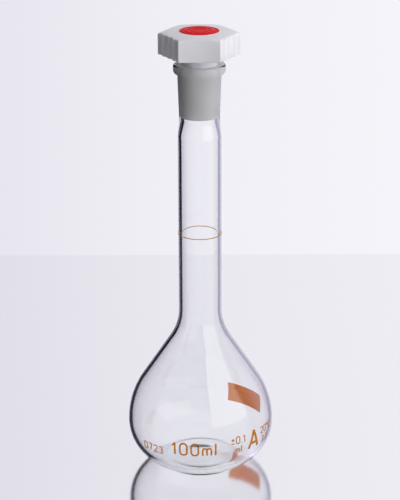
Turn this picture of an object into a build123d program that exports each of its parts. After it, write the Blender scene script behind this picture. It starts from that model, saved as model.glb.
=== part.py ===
from build123d import *
import math
import os

# 100 ml volumetric flask of the narrow-neck pear shape, with a ground 14/23 socket and a
# moulded plastic stopper. Millimetres, +Z up along the flask's axis, origin at the centre of
# the foot on the bench. The front, with the capacity mark, faces -Y.

os.makedirs("parts", exist_ok=True)

# ---- Driving dimensions ----------------------------------------------------------------
total_height = 170.0          # bench to rim, without the stopper
bulb_radius = 30.0
bulb_widest_height = 18.3     # height of the widest circle of the bulb
wall = 1.46                   # blown wall of bulb and neck, which leaves 100 ml up to the ring
neck_radius = 8.75
neck_top = 140.0              # the neck tube ends here and the ground joint begins

foot_radius = 15.0            # outer edge of the flat ring that stands on the bench
foot_ring_width = 1.8
heel_radius = 7.0             # rounding from the foot ring into the bulb
push_up = 1.8                 # the middle of the base is pushed up by this much
base_thickness = 1.55         # glass in the middle of the base
floor_low = 1.5               # inside, the lowest height of the floor, round its edge
floor_rounding = 3.5          # inside, from the floor's edge into the bulb's wall

shoulder_radius = 33.5        # long arc from the widest circle up towards the neck
shoulder_angle = 33.5         # half angle of the straight cone that follows that arc
neck_fillet_radius = 22.0

socket_large_radius = 7.25    # standard 14/23 ground socket
socket_length = 23.0
taper = 0.05                  # change of radius for each millimetre of length
joint_bottom_radius = 8.1     # outside of the glass round the socket
joint_top_radius = 8.75
collar_radius = 10.4
collar_height = 3.9

running_clearance = 0.05      # plug in socket, and insert in stopper

plug_bottom = 151.8
plug_wall = 1.3
head_bottom = 173.8
head_corner_radius = 16.35    # centre to corner of the six-sided head
head_side_height = 8.5
head_dome = 1.25              # the top rises this much from the corners to the middle
head_skin = 1.8               # moulded wall of the head, which is cored out from below
insert_radius = 7.8
insert_thickness = 1.3
insert_skirt_depth = 3.0

mark_thickness = 0.1          # fired-on enamel
stroke = 0.14                 # width of a figure's lines, for a figure one unit tall
ring_mark_height = 100.0      # the 100 ml line on the neck
ring_mark_width = 0.35

# ---- Derived places --------------------------------------------------------------------
shoulder_centre = (bulb_radius - shoulder_radius, bulb_widest_height)
foot_to_bulb = bulb_radius - foot_radius
heel_to_widest = bulb_widest_height - heel_radius
lower_radius = (foot_to_bulb**2 + heel_to_widest**2 - heel_radius**2) / (
    2 * (foot_to_bulb - heel_radius)
)
lower_centre = (bulb_radius - lower_radius, bulb_widest_height)

slope = math.radians(shoulder_angle)
cone_start_radius = shoulder_centre[0] + shoulder_radius * math.cos(slope)
cone_start_height = shoulder_centre[1] + shoulder_radius * math.sin(slope)
fillet_axis_radius = neck_radius + neck_fillet_radius
cone_end_radius = fillet_axis_radius - neck_fillet_radius * math.cos(slope)
cone_end_height = cone_start_height + (cone_start_radius - cone_end_radius) / math.tan(slope)
neck_bottom = cone_end_height + neck_fillet_radius * math.sin(slope)
fillet_centre = (fillet_axis_radius, neck_bottom)

floor_height = push_up + base_thickness
socket_bottom = total_height - socket_length
joint_bottom = socket_bottom + 0.6
collar_bottom = total_height - collar_height
head_edge_top = head_bottom + head_side_height
head_top = head_edge_top + head_dome
recess_floor = head_top - insert_thickness - running_clearance
skirt_radius = insert_radius - 2.0


def socket_radius(height):
    """Radius of the ground socket's wall at a height, and of its cone carried on above."""
    return socket_large_radius - taper * (total_height - height)


def plug_radius(height):
    """Radius of the stopper's plug at a height."""
    return socket_radius(height) - running_clearance


def polar(centre, radius, angle):
    """Point of the section plane at an angle, in degrees, on a circle."""
    turn = math.radians(angle)
    return (centre[0] + radius * math.cos(turn), centre[1] + radius * math.sin(turn))


def arc(centre, radius, start, end):
    """Circular arc of the section plane between two angles in degrees."""
    middle = (start + end) / 2
    return ThreePointArc(
        polar(centre, radius, start), polar(centre, radius, middle), polar(centre, radius, end)
    )


def revolved(curves):
    """Solid of revolution about the flask's axis from the curves of a closed section."""
    return revolve(make_face(Plane.XZ * (Curve() + curves)), axis=Axis.Z)


# ---- Glass -----------------------------------------------------------------------------
def bulb_outline(inset, bottom, rounding):
    """Section curves up to the neck, set into the glass by inset, from a flat at bottom."""
    rounding_height = bottom + rounding
    drop = bulb_widest_height - rounding_height
    out = math.sqrt((lower_radius - inset - rounding) ** 2 - drop**2)
    turn = math.degrees(math.atan2(drop, out))
    edge = arc((lower_centre[0] + out, rounding_height), rounding, -90, -turn)
    lower = arc(lower_centre, lower_radius - inset, -turn, 0)
    upper = arc(shoulder_centre, shoulder_radius - inset, 0, shoulder_angle)
    fillet_arc = arc(fillet_centre, neck_fillet_radius + inset, 180 + shoulder_angle, 180)
    cone = Line(upper @ 1, fillet_arc @ 0)
    return [edge, lower, upper, cone, fillet_arc]


def outside_outline(outwards=0.0):
    """Outside of the bulb, or a curve a little way outside it."""
    return bulb_outline(-outwards, -outwards, heel_radius + outwards)


def flask_body():
    """One piece of blown glass: base, bulb, neck, ground socket and collar."""
    outer = outside_outline()
    inner = bulb_outline(wall, floor_low, floor_rounding)
    bore_radius = neck_radius - wall
    ring_inner = foot_radius - foot_ring_width
    rim_rounding = 0.8
    collar_rounding = 1.5
    collar_low = (collar_radius - collar_rounding, collar_bottom + collar_rounding)
    collar_high = (collar_radius - rim_rounding, total_height - rim_rounding)
    joint_low = (joint_bottom_radius, joint_bottom)
    joint_high = (joint_top_radius, collar_bottom)
    socket_low = (socket_radius(socket_bottom), socket_bottom)
    socket_high = (socket_large_radius, total_height)

    base = [
        Spline((0, push_up), (ring_inner, 0), tangents=[(1, 0), (1, 0)]),
        Line((ring_inner, 0), (foot_radius, 0)),
    ]
    neck_and_joint = [
        Line(outer[-1] @ 1, (neck_radius, neck_top)),
        Spline((neck_radius, neck_top), joint_low, tangents=[(0, 1), (taper, 1)]),
        Line(joint_low, joint_high),
    ]
    collar = [
        Line(joint_high, (collar_low[0], collar_bottom)),
        arc(collar_low, collar_rounding, -90, 0),
        Line((collar_radius, collar_low[1]), (collar_radius, collar_high[1])),
        arc(collar_high, rim_rounding, 0, 90),
        Line((collar_high[0], total_height), socket_high),
    ]
    bore = [
        Line(socket_high, socket_low),
        Spline(socket_low, (bore_radius, neck_top), tangents=[(0, -1), (0, -1)]),
        Line((bore_radius, neck_top), inner[-1] @ 1),
    ]
    floor = [
        Spline(inner[0] @ 0, (0, floor_height), tangents=[(-1, 0), (-1, 0)]),
        Line((0, floor_height), (0, push_up)),
    ]
    return revolved(base + outer + neck_and_joint + collar + bore + inner + floor)


# ---- Stopper ---------------------------------------------------------------------------
def six_sided(corner_radius, bottom, height):
    """Upright six-sided block with a corner on the +X side and softened upright edges."""
    block = extrude(Pos(0, 0, bottom) * RegularPolygon(corner_radius, 6), height)
    return fillet(block.edges().filter_by(Axis.Z), 0.7)


def head_grips():
    """What is cut from the head's sides: hollows on three faces, flutes on the other three."""
    side_distance = head_corner_radius * math.cos(math.radians(30))
    hollow_radius = 60.0
    hollow_depth = 0.5
    flute_radius = 2.3
    flute_depth = 0.65
    flutes = 4
    pitch = head_corner_radius / flutes
    tall = 3 * head_side_height
    middle = head_bottom + head_side_height / 2

    cuts = Part()
    for face_angle in (-90, 30, 150):
        out = side_distance + hollow_radius - hollow_depth
        cuts += Rot(0, 0, face_angle) * Pos(out, 0, middle) * Cylinder(hollow_radius, tall)
    for face_angle in (-150, -30, 90):
        out = side_distance + flute_radius - flute_depth
        for place in range(flutes):
            along = (place - (flutes - 1) / 2) * pitch
            flute = Pos(out, along, middle) * Cylinder(flute_radius, tall)
            cuts += Rot(0, 0, face_angle) * flute
    return cuts


def head_coring():
    """Pocket moulded into the underside of the head, crossed by six ribs."""
    rib_thickness = 1.2
    hub_radius = plug_radius(head_bottom) + 1.2
    pocket_height = head_side_height - head_skin
    pocket = six_sided(head_corner_radius - 1.5 * head_skin, head_bottom, pocket_height)
    pocket -= Pos(0, 0, head_bottom) * Cylinder(hub_radius, 2 * pocket_height)
    for turn in range(3):
        rib = Box(3 * head_corner_radius, rib_thickness, 3 * pocket_height)
        pocket -= Pos(0, 0, head_bottom) * Rot(0, 0, 60 * turn) * rib
    return pocket


def stopper_body():
    """Moulded stopper: fluted six-sided head on a hollow tapered plug with a closed end."""
    dome_radius = (head_corner_radius**2 + head_dome**2) / (2 * head_dome)
    dome = Pos(0, 0, head_top - dome_radius) * Sphere(dome_radius)
    head = six_sided(head_corner_radius, head_bottom, 2 * head_side_height) & dome
    head -= head_grips()
    head -= head_coring()

    end_rounding = 0.7
    core_bottom = plug_bottom + plug_wall
    core_low_radius = plug_radius(core_bottom) - plug_wall
    end_centre = (plug_radius(plug_bottom) - end_rounding, plug_bottom + end_rounding)
    end_side = (plug_radius(plug_bottom), end_centre[1])
    seat_radius = insert_radius + running_clearance
    mouth_radius = skirt_radius + running_clearance
    mouth_bottom = recess_floor - insert_skirt_depth - 0.3
    plug = revolved([
        Line((0, plug_bottom), (end_centre[0], plug_bottom)),
        arc(end_centre, end_rounding, -90, 0),
        Line(end_side, (plug_radius(head_bottom), head_bottom)),
        Line((plug_radius(head_bottom), head_bottom), (plug_radius(head_bottom), recess_floor)),
        Line((plug_radius(head_bottom), recess_floor), (0, recess_floor)),
        Line((0, recess_floor), (0, plug_bottom)),
    ])
    core = revolved([
        Line((0, core_bottom), (core_low_radius, core_bottom)),
        Line((core_low_radius, core_bottom), (mouth_radius - 0.6, mouth_bottom)),
        Line((mouth_radius - 0.6, mouth_bottom), (mouth_radius, mouth_bottom)),
        Line((mouth_radius, mouth_bottom), (mouth_radius, recess_floor)),
        Line((mouth_radius, recess_floor), (seat_radius, recess_floor)),
        Line((seat_radius, recess_floor), (seat_radius, head_top + 1)),
        Line((seat_radius, head_top + 1), (0, head_top + 1)),
        Line((0, head_top + 1), (0, core_bottom)),
    ])
    return head + plug - core


def stopper_insert():
    """Round coloured cap, pressed into the head, with a skirt that goes down the hollow plug."""
    edge_rounding = 0.3
    skirt_wall = 1.0
    bottom = recess_floor + running_clearance
    skirt_bottom = bottom - insert_skirt_depth
    disc = Pos(0, 0, bottom + insert_thickness / 2) * Cylinder(insert_radius, insert_thickness)
    disc = fillet(disc.edges().group_by(Axis.Z)[-1], edge_rounding)
    middle = (skirt_bottom + bottom) / 2
    skirt = Pos(0, 0, middle) * Cylinder(skirt_radius, insert_skirt_depth)
    skirt -= Pos(0, 0, middle) * Cylinder(skirt_radius - skirt_wall, insert_skirt_depth)
    return disc + skirt


# ---- Fired-on marks --------------------------------------------------------------------
def glass_skin():
    """Thin shell that lies on the outside of the bulb."""
    under = outside_outline()[1:3]
    over = outside_outline(mark_thickness)[1:3]
    ends = [Line(under[0] @ 0, over[0] @ 0), Line(under[1] @ 1, over[1] @ 1)]
    return revolved(under + over + ends)


def on_bulb(flat, angle, height):
    """Carry a flat figure onto the bulb, at an angle from the front and a height."""
    front = Plane(origin=(0, 0, height), x_dir=(1, 0, 0), z_dir=(0, -1, 0))
    block = extrude(Rot(0, 0, angle) * (front * flat), 1.2 * bulb_radius)
    return skin & block


def bar(start, end):
    """Straight line of a figure."""
    return trace(Line(start, end), stroke)


def bow(centre, radius, start, sweep):
    """Round line of a figure, as an arc about a centre."""
    return trace(CenterArc(centre, radius, start, sweep), stroke)


# Each figure is one unit tall, stands on its base line and is centred on its own middle.
def zero():
    half = 0.28
    ends = bow((0, 1 - half), half, 0, 180) + bow((0, half), half, 180, 180)
    return ends + bar((-half, half), (-half, 1 - half)) + bar((half, half), (half, 1 - half))


def one():
    return bar((0, 0), (0, 1)) + bar((0.02, 0.98), (-0.22, 0.76))


def two():
    half = 0.27
    slant = bar((0.8 * half, 1 - 1.6 * half), (-half, 0.04))
    return bow((0, 1 - half), half, -35, 200) + slant + bar((-half, 0), (1.1 * half, 0))


def three():
    half = 0.25
    return bow((0, 1 - half), half, -90, 240) + bow((0, half), half, -150, 240)


def seven():
    return bar((-0.3, 1), (0.3, 1)) + bar((0.26, 1), (-0.1, 0))


def point():
    return Pos(0, stroke / 2) * Rectangle(stroke, stroke)


def small_m():
    half = 0.17
    spring = 0.62 - half
    legs = [bar((x, 0), (x, spring)) for x in (-2 * half, 0, 2 * half)]
    arches = [bow((x, spring), half, 0, 180) for x in (-half, half)]
    return sum(legs + arches, Sketch())


def small_l():
    return bar((0, 0), (0, 1))


def big_a():
    foot = 0.33
    return bar((-foot, 0), (0, 1)) + bar((foot, 0), (0, 1)) + bar((-0.22, 0.3), (0.22, 0.3))


def big_c():
    half = 0.28
    ends = bow((0, 1 - half), half, 20, 160) + bow((0, half), half, 180, 160)
    return ends + bar((-half, half), (-half, 1 - half))


def degree():
    return bow((0, 0.84), 0.14, 0, 360)


def plus_minus():
    arm = 0.24
    plus = bar((-arm, 0.6), (arm, 0.6)) + bar((0, 0.6 - arm), (0, 0.6 + arm))
    return plus + bar((-arm, 0.08), (arm, 0.08))


def mark(rows, size, angle, height):
    """Rows of figures wrapped round the bulb, middle at an angle, lowest base line at a height."""
    gap = 0.2
    result = Part()
    for row, figures in enumerate(reversed(rows)):
        flats = [figure() for figure in figures]
        widths = [flat.bounding_box().size.X for flat in flats]
        along = -(sum(widths) + gap * (len(flats) - 1)) / 2
        for flat, width in zip(flats, widths):
            centred = Pos(-flat.bounding_box().center().X, 0) * flat
            turn = math.degrees((along + width / 2) * size / bulb_radius)
            result += on_bulb(scale(centred, size), angle + turn, height + 1.4 * size * row)
            along += width + gap
    return result


def graduation_ring():
    """Line fired round the neck at the rated capacity."""
    ring = Cylinder(neck_radius + mark_thickness, ring_mark_width)
    ring -= Cylinder(neck_radius, ring_mark_width)
    return Pos(0, 0, ring_mark_height) * ring


def writing_field():
    """Plain rectangle on the back of the bulb, matt so that a pencil marks it."""
    field = RectangleRounded(19.9, 8.5, 0.4)
    return on_bulb(field, 136, bulb_widest_height)


skin = glass_skin()

nodes = {
    "flask_body": flask_body(),
    "stopper_body": stopper_body(),
    "stopper_insert": stopper_insert(),
    "graduation_ring": graduation_ring(),
    "writing_field": writing_field(),
    "capacity_mark": mark([[one, zero, zero, small_m, small_l]], 5.2, -5, 14.6),
    "class_mark": mark([[big_a]], 7.8, 46.5, 14.0),
    "tolerance_mark": mark([[plus_minus, zero, point, one], [small_m, small_l]], 3.0, 31, 14.0),
    "temperature_mark": mark([[two, zero, degree, big_c]], 2.8, 63, 18.6),
    "glass_type_mark": mark([[three, point, three]], 2.8, 61, 14.4),
    "batch_mark": mark([[zero, seven, two, three]], 3.2, -41, 13.4),
}

for name, shape in nodes.items():
    export_step(shape, f"parts/{name}.step")
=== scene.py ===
import math

import bmesh
import bpy
from mathutils import Matrix, Vector


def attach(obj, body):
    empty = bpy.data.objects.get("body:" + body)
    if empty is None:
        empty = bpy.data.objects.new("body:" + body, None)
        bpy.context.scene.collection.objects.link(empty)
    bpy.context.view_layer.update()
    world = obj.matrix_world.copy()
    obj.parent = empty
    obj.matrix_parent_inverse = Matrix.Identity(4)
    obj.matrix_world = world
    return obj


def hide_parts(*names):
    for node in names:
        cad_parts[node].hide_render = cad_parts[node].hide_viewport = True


# The looks of a 100 ml volumetric flask, in metres: clear blown glass with a ground socket,
# a moulded stopper, a red cap and amber fired-on marks, on a glossy pale table.

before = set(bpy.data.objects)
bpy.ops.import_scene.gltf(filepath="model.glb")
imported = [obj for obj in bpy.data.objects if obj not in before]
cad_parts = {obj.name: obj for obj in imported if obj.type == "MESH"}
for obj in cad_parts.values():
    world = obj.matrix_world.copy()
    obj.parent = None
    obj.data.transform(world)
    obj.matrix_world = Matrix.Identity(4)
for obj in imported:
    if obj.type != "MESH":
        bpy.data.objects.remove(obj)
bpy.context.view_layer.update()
MM = 0.001

# ---- Driving dimensions, in millimetres and radians, as in the solid model ----------------
TOTAL_HEIGHT = 170.0
BULB_RADIUS = 30.0
WIDEST_HEIGHT = 18.3
WALL = 1.46
NECK_RADIUS = 8.75
NECK_TOP = 140.0
FOOT_RADIUS = 15.0
FOOT_RING_WIDTH = 1.8
HEEL_RADIUS = 7.0
PUSH_UP = 1.8
BASE_THICKNESS = 1.55
FLOOR_LOW = 1.5
FLOOR_ROUNDING = 3.5
SHOULDER_RADIUS = 33.5
SHOULDER_ANGLE = math.radians(33.5)
NECK_FILLET_RADIUS = 22.0
SOCKET_RADIUS = 7.25
SOCKET_LENGTH = 23.0
TAPER = 0.05
JOINT_BOTTOM_RADIUS = 8.1
JOINT_TOP_RADIUS = 8.75
COLLAR_RADIUS = 10.4
COLLAR_HEIGHT = 3.9
COLLAR_ROUNDING = 1.4
RIM_ROUNDING = 0.8
MOUTH_ROUNDING = 0.4
CLEARANCE = 0.05
PLUG_BOTTOM = 151.8
PLUG_WALL = 1.3
HEAD_BOTTOM = 173.8
HEAD_CORNER = 16.35
HEAD_SIDE = 8.5
HEAD_DOME = 1.25
HEAD_SKIN = 1.8
INSERT_RADIUS = 7.8
INSERT_THICKNESS = 1.3
SKIRT_DEPTH = 3.0
MARK_GAP = 0.05  # bulb and neck are drawn this much slimmer, to stay clear of the marks

SOCKET_BOTTOM = TOTAL_HEIGHT - SOCKET_LENGTH
COLLAR_BOTTOM = TOTAL_HEIGHT - COLLAR_HEIGHT
HEAD_EDGE = HEAD_BOTTOM + HEAD_SIDE
HEAD_TOP = HEAD_EDGE + HEAD_DOME
POCKET_TOP = HEAD_EDGE - HEAD_SKIN
RECESS_FLOOR = HEAD_TOP - INSERT_THICKNESS - CLEARANCE
SKIRT_RADIUS = INSERT_RADIUS - 2.0


# ---- Section curves, as lists of (radius, height) in millimetres --------------------------
def arc(centre, radius, start, end, steps):
    """Points of a circular arc between two angles in radians."""
    angles = [start + (end - start) * i / steps for i in range(steps + 1)]
    return [(centre[0] + radius * math.cos(a), centre[1] + radius * math.sin(a)) for a in angles]


def blend(start, end, start_pull, end_pull, steps=16):
    """Points of a smooth cubic from start to end that leaves and arrives along the pulls."""
    points = []
    for i in range(steps + 1):
        t = i / steps
        weights = (
            2 * t**3 - 3 * t**2 + 1,
            t**3 - 2 * t**2 + t,
            3 * t**2 - 2 * t**3,
            t**3 - t**2,
        )
        parts = (start, start_pull, end, end_pull)
        points.append(tuple(sum(w * p[axis] for w, p in zip(weights, parts)) for axis in (0, 1)))
    return points


def straight(start, end, steps):
    """Evenly spaced points of a straight line."""
    return [
        (start[0] + (end[0] - start[0]) * i / steps, start[1] + (end[1] - start[1]) * i / steps)
        for i in range(steps + 1)
    ]


def joined(*runs):
    """One list of points from runs that meet end to end."""
    points = [runs[0][0]]
    for run in runs:
        points += [p for p in run if math.dist(p, points[-1]) > 1e-6]
    return points


def bulb_outline(inset, bottom, rounding):
    """Section up to the neck, set into the glass by inset, from a flat at bottom."""
    side = BULB_RADIUS - FOOT_RADIUS
    rise = WIDEST_HEIGHT - HEEL_RADIUS
    lower_radius = (side**2 + rise**2 - HEEL_RADIUS**2) / (2 * (side - HEEL_RADIUS))
    lower_centre = (BULB_RADIUS - lower_radius, WIDEST_HEIGHT)
    drop = WIDEST_HEIGHT - bottom - rounding
    out = math.sqrt((lower_radius - inset - rounding) ** 2 - drop**2)
    turn = math.atan2(drop, out)
    shoulder_centre = (BULB_RADIUS - SHOULDER_RADIUS, WIDEST_HEIGHT)
    cone_start = arc(shoulder_centre, SHOULDER_RADIUS, SHOULDER_ANGLE, SHOULDER_ANGLE, 1)[0]
    fillet_axis = NECK_RADIUS + NECK_FILLET_RADIUS
    cone_end_radius = fillet_axis - NECK_FILLET_RADIUS * math.cos(SHOULDER_ANGLE)
    cone_rise = (cone_start[0] - cone_end_radius) / math.tan(SHOULDER_ANGLE)
    neck_bottom = cone_start[1] + cone_rise + NECK_FILLET_RADIUS * math.sin(SHOULDER_ANGLE)
    edge_centre = (lower_centre[0] + out, bottom + rounding)
    edge = arc(edge_centre, rounding, -math.pi / 2, -turn, 10)
    lower = arc(lower_centre, lower_radius - inset, -turn, 0, 28)
    upper = arc(shoulder_centre, SHOULDER_RADIUS - inset, 0, SHOULDER_ANGLE, 24)
    fillet_centre = (fillet_axis, neck_bottom)
    fillet = arc(
        fillet_centre, NECK_FILLET_RADIUS + inset, math.pi + SHOULDER_ANGLE, math.pi, 28
    )
    return joined(edge, lower, upper, straight(upper[-1], fillet[0], 12), fillet)


def socket_radius(height):
    """Radius of the ground socket's wall, and of its cone carried on above the rim."""
    return SOCKET_RADIUS - TAPER * (TOTAL_HEIGHT - height)


def plug_radius(height):
    """Radius of the stopper's plug, whose taper carries on up to the head."""
    return socket_radius(height) - CLEARANCE


def head_height(radius):
    """Height of the stopper's shallow domed top at a distance from the axis."""
    dome_radius = (HEAD_CORNER**2 + HEAD_DOME**2) / (2 * HEAD_DOME)
    return HEAD_TOP - dome_radius + math.sqrt(dome_radius**2 - radius**2)


# ---- Meshes -------------------------------------------------------------------------------
def skin_rings(name, rings):
    """Closed mesh through rings of points in millimetres; a ring of one point is an end."""
    sharp_angle = math.radians(40)
    mesh = bpy.data.meshes.new(name)
    model = bmesh.new()
    made = [[model.verts.new([MM * c for c in point]) for point in ring] for ring in rings]
    for low, high in zip(made, made[1:]):
        count = max(len(low), len(high))
        for i in range(count):
            j = (i + 1) % count
            corners = (
                low[i % len(low)],
                low[j % len(low)],
                high[j % len(high)],
                high[i % len(high)],
            )
            model.faces.new(list(dict.fromkeys(corners)))
    bmesh.ops.recalc_face_normals(model, faces=model.faces)
    model.to_mesh(mesh)
    model.free()
    mesh.shade_smooth()
    mesh.set_sharp_from_angle(angle=sharp_angle)
    piece = bpy.data.objects.new(name, mesh)
    bpy.context.scene.collection.objects.link(piece)
    return piece


def circle(radius, height, count):
    """Ring of points round the axis, or the one point on it."""
    if radius < 1e-6:
        return [(0, 0, height)]
    turns = [2 * math.pi * i / count for i in range(count)]
    return [(radius * math.cos(a), radius * math.sin(a), height) for a in turns]


def lathe(name, section, count=192):
    """Closed mesh of revolution of a section that starts and ends on the axis."""
    return skin_rings(name, [circle(radius, height, count) for radius, height in section])


def outside_section():
    """Outside of the glass, from the middle of the base up to the top of the rim."""
    ring_inner = FOOT_RADIUS - FOOT_RING_WIDTH
    base_pull = (ring_inner, 0)
    bulb = [(radius - MARK_GAP, height) for radius, height in bulb_outline(0, 0, HEEL_RADIUS)]
    neck_end = (NECK_RADIUS - MARK_GAP, NECK_TOP)
    joint_low = (JOINT_BOTTOM_RADIUS, SOCKET_BOTTOM + 0.6)
    joint_high = (JOINT_TOP_RADIUS, COLLAR_BOTTOM)
    under_collar = (COLLAR_RADIUS - COLLAR_ROUNDING, COLLAR_BOTTOM + 0.15)
    collar_centre = (under_collar[0], under_collar[1] + COLLAR_ROUNDING)
    rim_centre = (COLLAR_RADIUS - RIM_ROUNDING, TOTAL_HEIGHT - RIM_ROUNDING)
    return joined(
        blend((0, PUSH_UP), (ring_inner, 0), base_pull, base_pull, 24),
        [(FOOT_RADIUS, 0)],
        bulb,
        straight(bulb[-1], neck_end, 12),
        blend(neck_end, joint_low, (0, 5), (0.25, 5)),
        straight(joint_low, joint_high, 6),
        blend(joint_high, under_collar, (0, 0.2), (0.3, 0), 5),
        arc(collar_centre, COLLAR_ROUNDING, -math.pi / 2, 0, 10),
        arc(rim_centre, RIM_ROUNDING, 0, math.pi / 2, 8),
    )


def inside_section():
    """Inside of the glass, from the mouth down to the middle of the bulb's floor."""
    mouth_centre = (SOCKET_RADIUS + MOUTH_ROUNDING, TOTAL_HEIGHT - MOUTH_ROUNDING)
    mouth = arc(mouth_centre, MOUTH_ROUNDING, math.pi / 2, math.pi, 5)
    socket_low = (socket_radius(SOCKET_BOTTOM), SOCKET_BOTTOM)
    neck_end = (NECK_RADIUS - WALL, NECK_TOP)
    bulb = bulb_outline(WALL, FLOOR_LOW, FLOOR_ROUNDING)
    floor_pull = (-FOOT_RADIUS, 0)
    return joined(
        mouth,
        straight(mouth[-1], socket_low, 14),
        blend(socket_low, neck_end, (0, -5), (0, -5)),
        straight(neck_end, bulb[-1], 12),
        list(reversed(bulb)),
        blend(bulb[0], (0, PUSH_UP + BASE_THICKNESS), floor_pull, floor_pull, 24),
    )


def make_flask():
    """The glass, with the inside of the socket and the rim ground and the rest polished."""
    ground_from = SOCKET_BOTTOM + 1.3
    flask = lathe("glass_flask", joined(outside_section(), inside_section()), 224)
    flask.data.materials.append(clear_glass())
    flask.data.materials.append(ground_glass())
    for face in flask.data.polygons:
        centre = face.center / MM
        radius = math.hypot(centre.x, centre.y)
        in_socket = centre.z > ground_from and radius < socket_radius(centre.z) + 0.1
        on_top = centre.z > TOTAL_HEIGHT - MOUTH_ROUNDING
        on_rim = on_top and radius < COLLAR_RADIUS - RIM_ROUNDING
        if in_socket or on_rim:
            face.material_index = 1
    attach(flask, "flask")
    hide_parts("flask_body")


def side_depth(along, fluted):
    """How far a side of the head is cut in: by a row of flutes, or by one shallow hollow."""
    flutes = 4
    flute_depth = 0.65
    flute_half_width = 1.6
    hollow_depth = 0.5
    half_side = HEAD_CORNER / 2
    if not fluted:
        return hollow_depth * (1 - (along / half_side) ** 2)
    pitch = HEAD_CORNER / flutes
    place = (along / pitch) % 1 - 0.5
    return flute_depth * max(0, 1 - (place * pitch / flute_half_width) ** 2)


def head_side(turn, fluted, half_length):
    """Points along one side of the head, which faces the direction turn."""
    steps = 48
    side_distance = HEAD_CORNER * math.cos(math.radians(30))
    points = []
    for i in range(steps + 1):
        along = half_length * (2 * i / steps - 1)
        out = side_distance - side_depth(along, fluted)
        points.append(
            (
                out * math.cos(turn) - along * math.sin(turn),
                out * math.sin(turn) + along * math.cos(turn),
            )
        )
    return points


def head_corner(turn, rounding):
    """Points round the corner that follows the side facing the direction turn."""
    steps = 6
    distance = HEAD_CORNER - rounding / math.cos(math.radians(30))
    middle = turn + math.radians(30)
    points = []
    for i in range(1, steps):
        bend = turn + math.radians(60 * i / steps)
        points.append(
            (
                distance * math.cos(middle) + rounding * math.cos(bend),
                distance * math.sin(middle) + rounding * math.sin(bend),
            )
        )
    return points


def head_outline():
    """Outline of the stopper's six-sided head seen from above; every second side is fluted."""
    rounding = 0.7
    half_length = HEAD_CORNER / 2 - rounding * math.tan(math.radians(30))
    points = []
    for side in range(6):
        turn = math.radians(-90 + 60 * side)
        points += head_side(turn, side % 2 == 1, half_length)
        points += head_corner(turn, rounding)
    return points


def inset_outline(points, inset):
    """The outline moved in by inset, at right angles to itself."""
    moved = []
    count = len(points)
    for i, (x, y) in enumerate(points):
        before = points[i - 1]
        after = points[(i + 1) % count]
        length = math.dist(before, after)
        normal = ((after[1] - before[1]) / length, (before[0] - after[0]) / length)
        moved.append((x - inset * normal[0], y - inset * normal[1]))
    return moved


def edge_ring(outline, inset, height):
    """The head's outline moved in by inset, at one height."""
    return [(x, y, height) for x, y in inset_outline(outline, inset)]


def top_ring(outline, inset, drop):
    """The head's outline moved in by inset, a little below the domed top."""
    flat = inset_outline(outline, inset)
    return [(x, y, head_height(math.hypot(x, y)) - drop) for x, y in flat]


def dome_ring(outline, radius, share):
    """Ring on the domed top, part of the way from the head's edge in to a circle."""
    ring = []
    for x, y in inset_outline(outline, 0.5):
        far = math.hypot(x, y)
        place = far + (radius - far) * share
        ring.append((x / far * place, y / far * place, head_height(place)))
    return ring


def round_ring(outline, radius, height):
    """Circle with one point in the direction of each point of the outline."""
    ring = []
    for x, y in outline:
        far = math.hypot(x, y)
        ring.append((x / far * radius, y / far * radius, height))
    return ring


def plug_rings(outline):
    """Outside of the plug, from the middle of its closed end up to the head."""
    rounding = 0.7
    low_radius = plug_radius(PLUG_BOTTOM)
    top_radius = plug_radius(HEAD_BOTTOM)
    centre = (low_radius - rounding, PLUG_BOTTOM + rounding)
    end = arc(centre, rounding, -math.pi / 2, 0, 6)
    side = straight(end[-1], (top_radius, HEAD_BOTTOM - 0.3), 6)
    section = end + side + [(top_radius + 0.3, HEAD_BOTTOM)]
    return [[(0, 0, PLUG_BOTTOM)]] + [round_ring(outline, *point) for point in section]


def head_rings(outline, hub):
    """Hub and pocket under the head, then its rounded edges and its side, up to the top."""
    hub_side = [(hub - 0.2, HEAD_BOTTOM), (hub, HEAD_BOTTOM + 0.2), (hub, POCKET_TOP)]
    pocket_wall = [(2.5, POCKET_TOP), (2.3, HEAD_BOTTOM + 0.2), (2.1, HEAD_BOTTOM)]
    lower_edge = [(0.35, HEAD_BOTTOM), (0.1, HEAD_BOTTOM + 0.1), (0, HEAD_BOTTOM + 0.35)]
    upper_edge = [(0, 0.5), (0.06, 0.25), (0.25, 0.06), (0.5, 0)]
    rings = [round_ring(outline, *point) for point in hub_side]
    rings += [edge_ring(outline, *point) for point in pocket_wall + lower_edge]
    rings += [top_ring(outline, *point) for point in upper_edge]
    return rings


def inner_rings(outline):
    """Domed top, recess for the cap and hollow core, in to the middle of the core's floor."""
    seat = INSERT_RADIUS + CLEARANCE
    skirt = SKIRT_RADIUS + CLEARANCE
    skirt_end = RECESS_FLOOR - SKIRT_DEPTH - 0.3
    core_bottom = PLUG_BOTTOM + PLUG_WALL
    section = [
        (seat + 0.07, HEAD_TOP - 0.27),
        (seat, HEAD_TOP - 0.45),
        (seat, RECESS_FLOOR),
        (skirt, RECESS_FLOOR),
        (skirt, skirt_end),
        (skirt - 0.6, skirt_end),
        (plug_radius(core_bottom) - PLUG_WALL, core_bottom),
    ]
    rings = [dome_ring(outline, seat + 0.25, share) for share in (0.25, 0.5, 0.75, 1)]
    rings += [round_ring(outline, *point) for point in section]
    return rings + [[(0, 0, core_bottom)]]


def make_stopper():
    """White stopper in one moulding: fluted head, cored underside, hollow plug."""
    outline = head_outline()
    hub = plug_radius(HEAD_BOTTOM) + 1.2
    rings = plug_rings(outline) + head_rings(outline, hub) + inner_rings(outline)
    stopper = skin_rings("moulded_stopper", rings)
    add_ribs(stopper, hub)
    stopper.data.materials.append(white_plastic())
    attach(stopper, "stopper")
    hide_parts("stopper_body")


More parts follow.
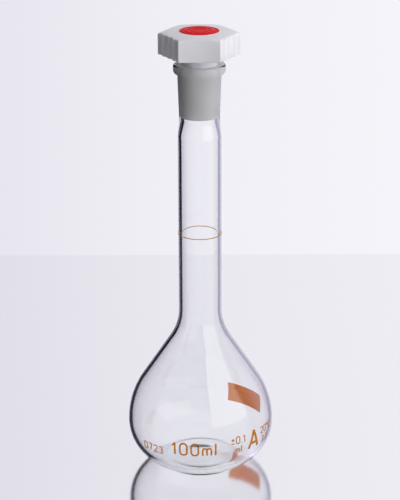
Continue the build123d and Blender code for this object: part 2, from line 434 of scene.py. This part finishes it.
def add_ribs(stopper, hub):
    """Six thin ribs across the cored underside of the head."""
    thickness = 1.2
    inner_end = hub - 0.3
    outer_end = HEAD_CORNER - 2.9
    model = bmesh.new()
    model.from_mesh(stopper.data)
    for turn in range(6):
        angle = math.radians(60 * turn)
        outwards = Vector((math.cos(angle), math.sin(angle), 0))
        sideways = Vector((-outwards.y, outwards.x, 0))
        corners = []
        for height in (HEAD_BOTTOM + 0.3, POCKET_TOP + 0.2):
            for reach, side in ((inner_end, -1), (outer_end, -1), (outer_end, 1), (inner_end, 1)):
                place = outwards * reach + sideways * side * thickness / 2
                corners.append(model.verts.new((place.x * MM, place.y * MM, height * MM)))
        bottom, top = corners[:4], corners[4:]
        model.faces.new(list(reversed(bottom)))
        model.faces.new(top)
        for i in range(4):
            j = (i + 1) % 4
            model.faces.new((bottom[i], bottom[j], top[j], top[i]))
    model.to_mesh(stopper.data)
    model.free()


def raised_ring(middle, base):
    """Section of a low rounded ring, from its outer side in."""
    half_width = 0.35
    height = 0.12
    steps = [-1, -0.6, -0.2, 0.2, 0.6, 1]
    return [(middle - half_width * s, base + height * math.cos(s * math.pi / 2)) for s in steps]


def make_insert():
    """Red snap-in cap with a rounded rim, a fine groove and two raised rings."""
    bottom = RECESS_FLOOR + CLEARANCE
    top = bottom + INSERT_THICKNESS - 0.15
    skirt_bottom = bottom - SKIRT_DEPTH
    skirt_inner = SKIRT_RADIUS - 1.0
    rim = 0.3
    groove_floor = top - 0.15
    section = joined(
        [(0, bottom), (skirt_inner, bottom), (skirt_inner, skirt_bottom)],
        [(SKIRT_RADIUS, skirt_bottom), (SKIRT_RADIUS, bottom), (INSERT_RADIUS, bottom)],
        arc((INSERT_RADIUS - rim, top - rim), rim, 0, math.pi / 2, 6),
        [(INSERT_RADIUS - 0.55, top), (INSERT_RADIUS - 0.65, groove_floor)],
        [(INSERT_RADIUS - 0.8, groove_floor), (INSERT_RADIUS - 0.9, top)],
        raised_ring(5.0, top),
        raised_ring(3.0, top),
        [(2.0, top), (1.0, top), (0, top)],
    )
    insert = lathe("red_cap", section)
    insert.data.materials.append(red_plastic())
    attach(insert, "insert")
    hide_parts("stopper_insert")


# ---- Materials ----------------------------------------------------------------------------
def new_material(name, settings):
    """Material with one principled shader; returns it, its nodes, its links and the shader."""
    material = bpy.data.materials.new(name)
    material.use_nodes = True
    nodes = material.node_tree.nodes
    shader = nodes["Principled BSDF"]
    for socket, value in settings.items():
        shader.inputs[socket].default_value = value
    return material, nodes, material.node_tree.links, shader


def add_noise(nodes, links, scale, detail=2.0, stretch=(1, 1, 1)):
    """Noise in the piece's own coordinates, stretched along its axes."""
    place = nodes.new("ShaderNodeTexCoord")
    mapping = nodes.new("ShaderNodeMapping")
    mapping.inputs["Scale"].default_value = stretch
    noise = nodes.new("ShaderNodeTexNoise")
    noise.inputs["Scale"].default_value = scale
    noise.inputs["Detail"].default_value = detail
    links.new(place.outputs["Object"], mapping.inputs["Vector"])
    links.new(mapping.outputs["Vector"], noise.inputs["Vector"])
    return noise.outputs["Fac"]


def add_bump(nodes, links, shader, source, distance, strength=1.0):
    """Bump of a real depth in metres."""
    bump = nodes.new("ShaderNodeBump")
    bump.inputs["Strength"].default_value = strength
    bump.inputs["Distance"].default_value = distance
    links.new(source, bump.inputs["Height"])
    links.new(bump.outputs["Normal"], shader.inputs["Normal"])


def add_range(nodes, links, source, target, low, high):
    """Spread the middle of a noise between two values of a shader's socket."""
    span = nodes.new("ShaderNodeMapRange")
    span.inputs["From Min"].default_value = 0.3
    span.inputs["From Max"].default_value = 0.7
    span.inputs["To Min"].default_value = low
    span.inputs["To Max"].default_value = high
    links.new(source, span.inputs["Value"])
    links.new(span.outputs["Result"], target)


def add_colours(nodes, links, source, target, low, high):
    """Spread the middle of a noise between two colours of a shader's socket."""
    ramp = nodes.new("ShaderNodeValToRGB")
    ramp.color_ramp.elements[0].position = 0.3
    ramp.color_ramp.elements[0].color = (*low, 1)
    ramp.color_ramp.elements[1].position = 0.7
    ramp.color_ramp.elements[1].color = (*high, 1)
    links.new(source, ramp.inputs["Fac"])
    links.new(ramp.outputs["Color"], target)


def clear_glass():
    """Blown borosilicate glass with the faint drawn-out waves of the neck and bulb."""
    settings = {
        "Base Color": (0.985, 0.988, 0.995, 1),
        "Roughness": 0.0,
        "IOR": 1.473,
        "Transmission Weight": 1.0,
    }
    material, nodes, links, shader = new_material("blown_glass", settings)
    waves = add_noise(nodes, links, 90, 1.0, (1, 1, 0.25))
    add_bump(nodes, links, shader, waves, 0.00001)
    return material


def ground_glass():
    """Finely ground inside of the socket."""
    settings = {
        "Base Color": (0.97, 0.97, 0.97, 1),
        "Roughness": 0.65,
        "IOR": 1.473,
        "Transmission Weight": 0.15,
    }
    material, nodes, links, shader = new_material("ground_glass", settings)
    grain = add_noise(nodes, links, 6000, 3.0)
    add_range(nodes, links, grain, shader.inputs["Roughness"], 0.55, 0.75)
    add_bump(nodes, links, shader, grain, 0.00003, 0.5)
    return material


def white_plastic():
    """Satin moulded polyethylene, a little translucent, with a fine moulded grain."""
    settings = {
        "Base Color": (0.86, 0.86, 0.88, 1),
        "Roughness": 0.34,
        "IOR": 1.5,
        "Specular IOR Level": 0.3,
        "Subsurface Weight": 0.1,
        "Subsurface Radius": (0.002, 0.0018, 0.0016),
        "Subsurface Scale": 1.0,
    }
    material, nodes, links, shader = new_material("white_polyethylene", settings)
    grain = add_noise(nodes, links, 2500, 3.0)
    add_range(nodes, links, grain, shader.inputs["Roughness"], 0.3, 0.42)
    add_bump(nodes, links, shader, grain, 0.00001, 0.6)
    return material


def red_plastic():
    """Smooth red plastic of the cap, slightly uneven in depth and in surface."""
    settings = {
        "Base Color": (0.85, 0.006, 0.012, 1),
        "Roughness": 0.3,
        "IOR": 1.15,
        "Specular IOR Level": 0.1,
    }
    deep = (0.8, 0.005, 0.01)
    bright = (0.9, 0.008, 0.014)
    material, nodes, links, shader = new_material("red_gloss", settings)
    sink = add_noise(nodes, links, 350)
    add_colours(nodes, links, sink, shader.inputs["Base Color"], deep, bright)
    add_bump(nodes, links, shader, sink, 0.00002)
    return material


def amber_stain(name, pale, deep):
    """Translucent fired-on stain, slightly uneven in depth."""
    settings = {
        "Base Color": (*pale, 1),
        "Roughness": 0.12,
        "IOR": 1.2,
        "Transmission Weight": 0.85,
    }
    material, nodes, links, shader = new_material(name, settings)
    depth = add_noise(nodes, links, 900, 3.0)
    add_colours(nodes, links, depth, shader.inputs["Base Color"], deep, pale)
    return material


def stain_marks():
    """Amber stains on the fired-on marks, which keep the solid model's meshes."""
    field = amber_stain("amber_field", (0.84, 0.24, 0.002), (0.7, 0.16, 0.001))
    figure = amber_stain("amber_figure", (0.78, 0.32, 0.01), (0.66, 0.24, 0.005))
    line = amber_stain("amber_line", (0.68, 0.4, 0.03), (0.56, 0.32, 0.02))
    stains = {
        "graduation_ring": line,
        "writing_field": field,
        "capacity_mark": figure,
        "class_mark": figure,
        "tolerance_mark": figure,
        "temperature_mark": figure,
        "glass_type_mark": figure,
        "batch_mark": figure,
    }
    for node, stain in stains.items():
        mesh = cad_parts[node].data
        mesh.materials.clear()
        mesh.materials.append(stain)


# ---- Studio -------------------------------------------------------------------------------
def curved_panel(name, radius, start, end, low, high, material):
    """Upright panel round the axis between two directions in degrees."""
    count = 12
    turns = [math.radians(start + (end - start) * i / count) for i in range(count + 1)]
    points = [(radius * math.cos(a), radius * math.sin(a), z) for z in (low, high) for a in turns]
    faces = [(i, i + 1, count + 2 + i, count + 1 + i) for i in range(count)]
    mesh = bpy.data.meshes.new(name)
    mesh.from_pydata(points, [], faces)
    mesh.materials.append(material)
    panel = bpy.data.objects.new(name, mesh)
    bpy.context.scene.collection.objects.link(panel)


def softbox_light(strength):
    """Even white light that shows only as a sharp reflection in the glass."""
    material = bpy.data.materials.new("softbox")
    material.use_nodes = True
    tree = material.node_tree
    tree.nodes.clear()
    light = tree.nodes.new("ShaderNodeEmission")
    light.inputs["Strength"].default_value = strength
    nothing = tree.nodes.new("ShaderNodeBsdfTransparent")
    path = tree.nodes.new("ShaderNodeLightPath")
    reflected = math_node(tree, "GREATER_THAN", path.outputs["Glossy Depth"], 0.5)
    sharp = math_node(tree, "MULTIPLY", reflected, path.outputs["Is Singular Ray"])
    shader = mixed(tree, sharp, nothing.outputs["BSDF"], light.outputs["Emission"])
    end = tree.nodes.new("ShaderNodeOutputMaterial")
    tree.links.new(shader, end.inputs["Surface"])
    return material


def make_table():
    """Pale glossy table, close to a soft mirror, that ends a little behind the flask."""
    settings = {
        "Base Color": (0.93, 0.93, 0.935, 1),
        "Roughness": 0.1,
        "Metallic": 0.96,
    }
    side = 2.0
    far_edge = 0.25
    height = -0.00005  # just under the foot, so that the two never meet
    corners = [
        (-side, -side, height),
        (side, -side, height),
        (side, far_edge, height),
        (-side, far_edge, height),
    ]
    mesh = bpy.data.meshes.new("table")
    mesh.from_pydata(corners, [], [(0, 1, 2, 3)])
    mesh.materials.append(new_material("table_gloss", settings)[0])
    table = bpy.data.objects.new("table", mesh)
    bpy.context.scene.collection.objects.link(table)


def connect(tree, socket, value):
    """Link an output to a socket, or set the socket's own value."""
    if isinstance(value, bpy.types.NodeSocket):
        tree.links.new(value, socket)
    else:
        socket.default_value = value


def math_node(tree, operation, *values):
    """Output of one step of arithmetic."""
    node = tree.nodes.new("ShaderNodeMath")
    node.operation = operation
    for socket, value in zip(node.inputs, values):
        connect(tree, socket, value)
    return node.outputs["Value"]


def total(tree, *values):
    """Sum of several lights."""
    result = values[0]
    for value in values[1:]:
        result = math_node(tree, "ADD", result, value)
    return result


def along(tree, towards):
    """How far the direction that is looked in points towards another."""
    node = tree.nodes.new("ShaderNodeVectorMath")
    node.operation = "DOT_PRODUCT"
    direction = tree.nodes.new("ShaderNodeTexCoord").outputs["Generated"]
    connect(tree, node.inputs[0], direction)
    connect(tree, node.inputs[1], Vector(towards).normalized())
    return node.outputs["Value"]


def lobe(tree, towards, low, high, strength):
    """Soft light from round one direction."""
    node = tree.nodes.new("ShaderNodeMapRange")
    node.interpolation_type = "SMOOTHSTEP"
    node.inputs["From Min"].default_value = low
    node.inputs["From Max"].default_value = high
    node.inputs["To Max"].default_value = strength
    connect(tree, node.inputs["Value"], along(tree, towards))
    return node.outputs["Result"]


def across(tree, stops):
    """Colours from left, at 0, to right, at 1."""
    node = tree.nodes.new("ShaderNodeValToRGB")
    elements = node.color_ramp.elements
    for element, (place, colour) in zip(elements, (stops[0], stops[-1])):
        element.position = place
        element.color = (*colour, 1)
    for place, colour in stops[1:-1]:
        elements.new(place).color = (*colour, 1)
    place = math_node(tree, "MULTIPLY_ADD", along(tree, (1, 0, 0)), 0.5, 0.5)
    connect(tree, node.inputs["Fac"], place)
    return node.outputs["Color"]


def background(tree, colour, strength):
    """Light of a colour and strength from all round."""
    node = tree.nodes.new("ShaderNodeBackground")
    connect(tree, node.inputs["Color"], colour)
    connect(tree, node.inputs["Strength"], strength)
    return node.outputs["Background"]


def mixed(tree, factor, first, second):
    """Second shader where the factor is one, and the first elsewhere."""
    node = tree.nodes.new("ShaderNodeMixShader")
    connect(tree, node.inputs[0], factor)
    connect(tree, node.inputs[1], first)
    connect(tree, node.inputs[2], second)
    return node.outputs["Shader"]


def pale_backdrop(tree):
    """What is seen straight or through the glass: pale, and greyer to the left."""
    colours = [
        (0.38, (0.69, 0.675, 0.76)),
        (0.49, (0.87, 0.86, 0.92)),
        (0.56, (0.92, 0.91, 0.96)),
    ]
    return background(tree, across(tree, colours), 1.0)


def mirrored_room(tree, top):
    """What the glass mirrors, or turns back inside its walls.

    It is pale above, behind and low down in front. It is dark to the left and in the rest of
    the front, which draws the dark line along the edge of the glass.
    """
    colours = [
        (0.38, (0.015, 0.01, 0.03)),
        (0.43, (0.85, 0.84, 0.9)),
        (0.6, (0.92, 0.91, 0.96)),
        (0.7, (0.4, 0.38, 0.52)),
    ]
    back = lobe(tree, (0, 1, 0), 0.0, 0.4, 0.95)
    front = lobe(tree, (0, -1, 0), 0.0, 0.3, 0.65)
    low_down = lobe(tree, (0, 0, -1), -0.6, -0.35, 1.0)
    low_front = math_node(tree, "MULTIPLY", front, low_down)
    beyond = background(tree, across(tree, colours), total(tree, top, back, 0.03))
    before = background(tree, (0.93, 0.92, 0.97, 1), low_front)
    room = tree.nodes.new("ShaderNodeAddShader")
    connect(tree, room.inputs[0], beyond)
    connect(tree, room.inputs[1], before)
    return room.outputs["Shader"]


def matt_light(tree, top):
    """Light on matt surfaces, from the top, the front right and the back right."""
    right = lobe(tree, (0.8, 0.6, 0), 0.3, 0.9, 0.7)
    key = lobe(tree, (0.66, -0.69, 0.3), 0.85, 0.97, 3.8)
    return background(tree, (0.98, 0.97, 1.0, 1), total(tree, top, right, key, 0.01))


def turned_by_glass(tree, path):
    """One for rays mirrored sharply, or twice, that have crossed few surfaces of the glass."""
    bounced = math_node(tree, "GREATER_THAN", path["Glossy Depth"], 0.5)
    sharply = math_node(tree, "MULTIPLY", bounced, path["Is Singular Ray"])
    twice = math_node(tree, "GREATER_THAN", path["Glossy Depth"], 1.5)
    shallow = math_node(tree, "LESS_THAN", path["Transmission Depth"], 3.0)
    return math_node(tree, "MULTIPLY", math_node(tree, "MAXIMUM", sharply, twice), shallow)


def make_surroundings():
    """World that shows each kind of ray the surroundings it needs."""
    world = bpy.data.worlds.new("studio")
    world.use_nodes = True
    bpy.context.scene.world = world
    tree = world.node_tree
    path = tree.nodes.new("ShaderNodeLightPath").outputs
    top = lobe(tree, (0.25, 0.25, 0.93), 0.75, 0.95, 1.3)
    by_glass = turned_by_glass(tree, path)
    by_matt = math_node(tree, "GREATER_THAN", path["Diffuse Depth"], 0.5)
    seen = mixed(tree, by_glass, pale_backdrop(tree), mirrored_room(tree, top))
    shown = mixed(tree, by_matt, seen, matt_light(tree, top))
    connect(tree, tree.nodes["World Output"].inputs["Surface"], shown)


def make_studio():
    """Table, surroundings, and a softbox at the front right."""
    make_table()
    make_surroundings()
    curved_panel("softbox", 0.6, -72, -10, 0.05, 0.6, softbox_light(1.5))


def make_camera():
    """Long lens looking a little down on the flask."""
    focal_in_heights = 3.873
    pitch = math.radians(19.75)
    roll = math.radians(0.2)
    data = bpy.data.cameras.new("camera")
    data.lens = focal_in_heights * data.sensor_width
    data.clip_start = 0.01
    camera = bpy.data.objects.new("camera", data)
    camera.location = (0.0, -0.7391, 0.3578)
    camera.rotation_euler = (
        Matrix.Rotation(math.pi / 2 - pitch, 3, "X") @ Matrix.Rotation(-roll, 3, "Z")
    ).to_euler()
    bpy.context.scene.collection.objects.link(camera)
    bpy.context.scene.camera = camera
    bpy.context.scene.view_settings.view_transform = "Standard"


make_flask()
make_stopper()
make_insert()
stain_marks()
make_studio()
make_camera()
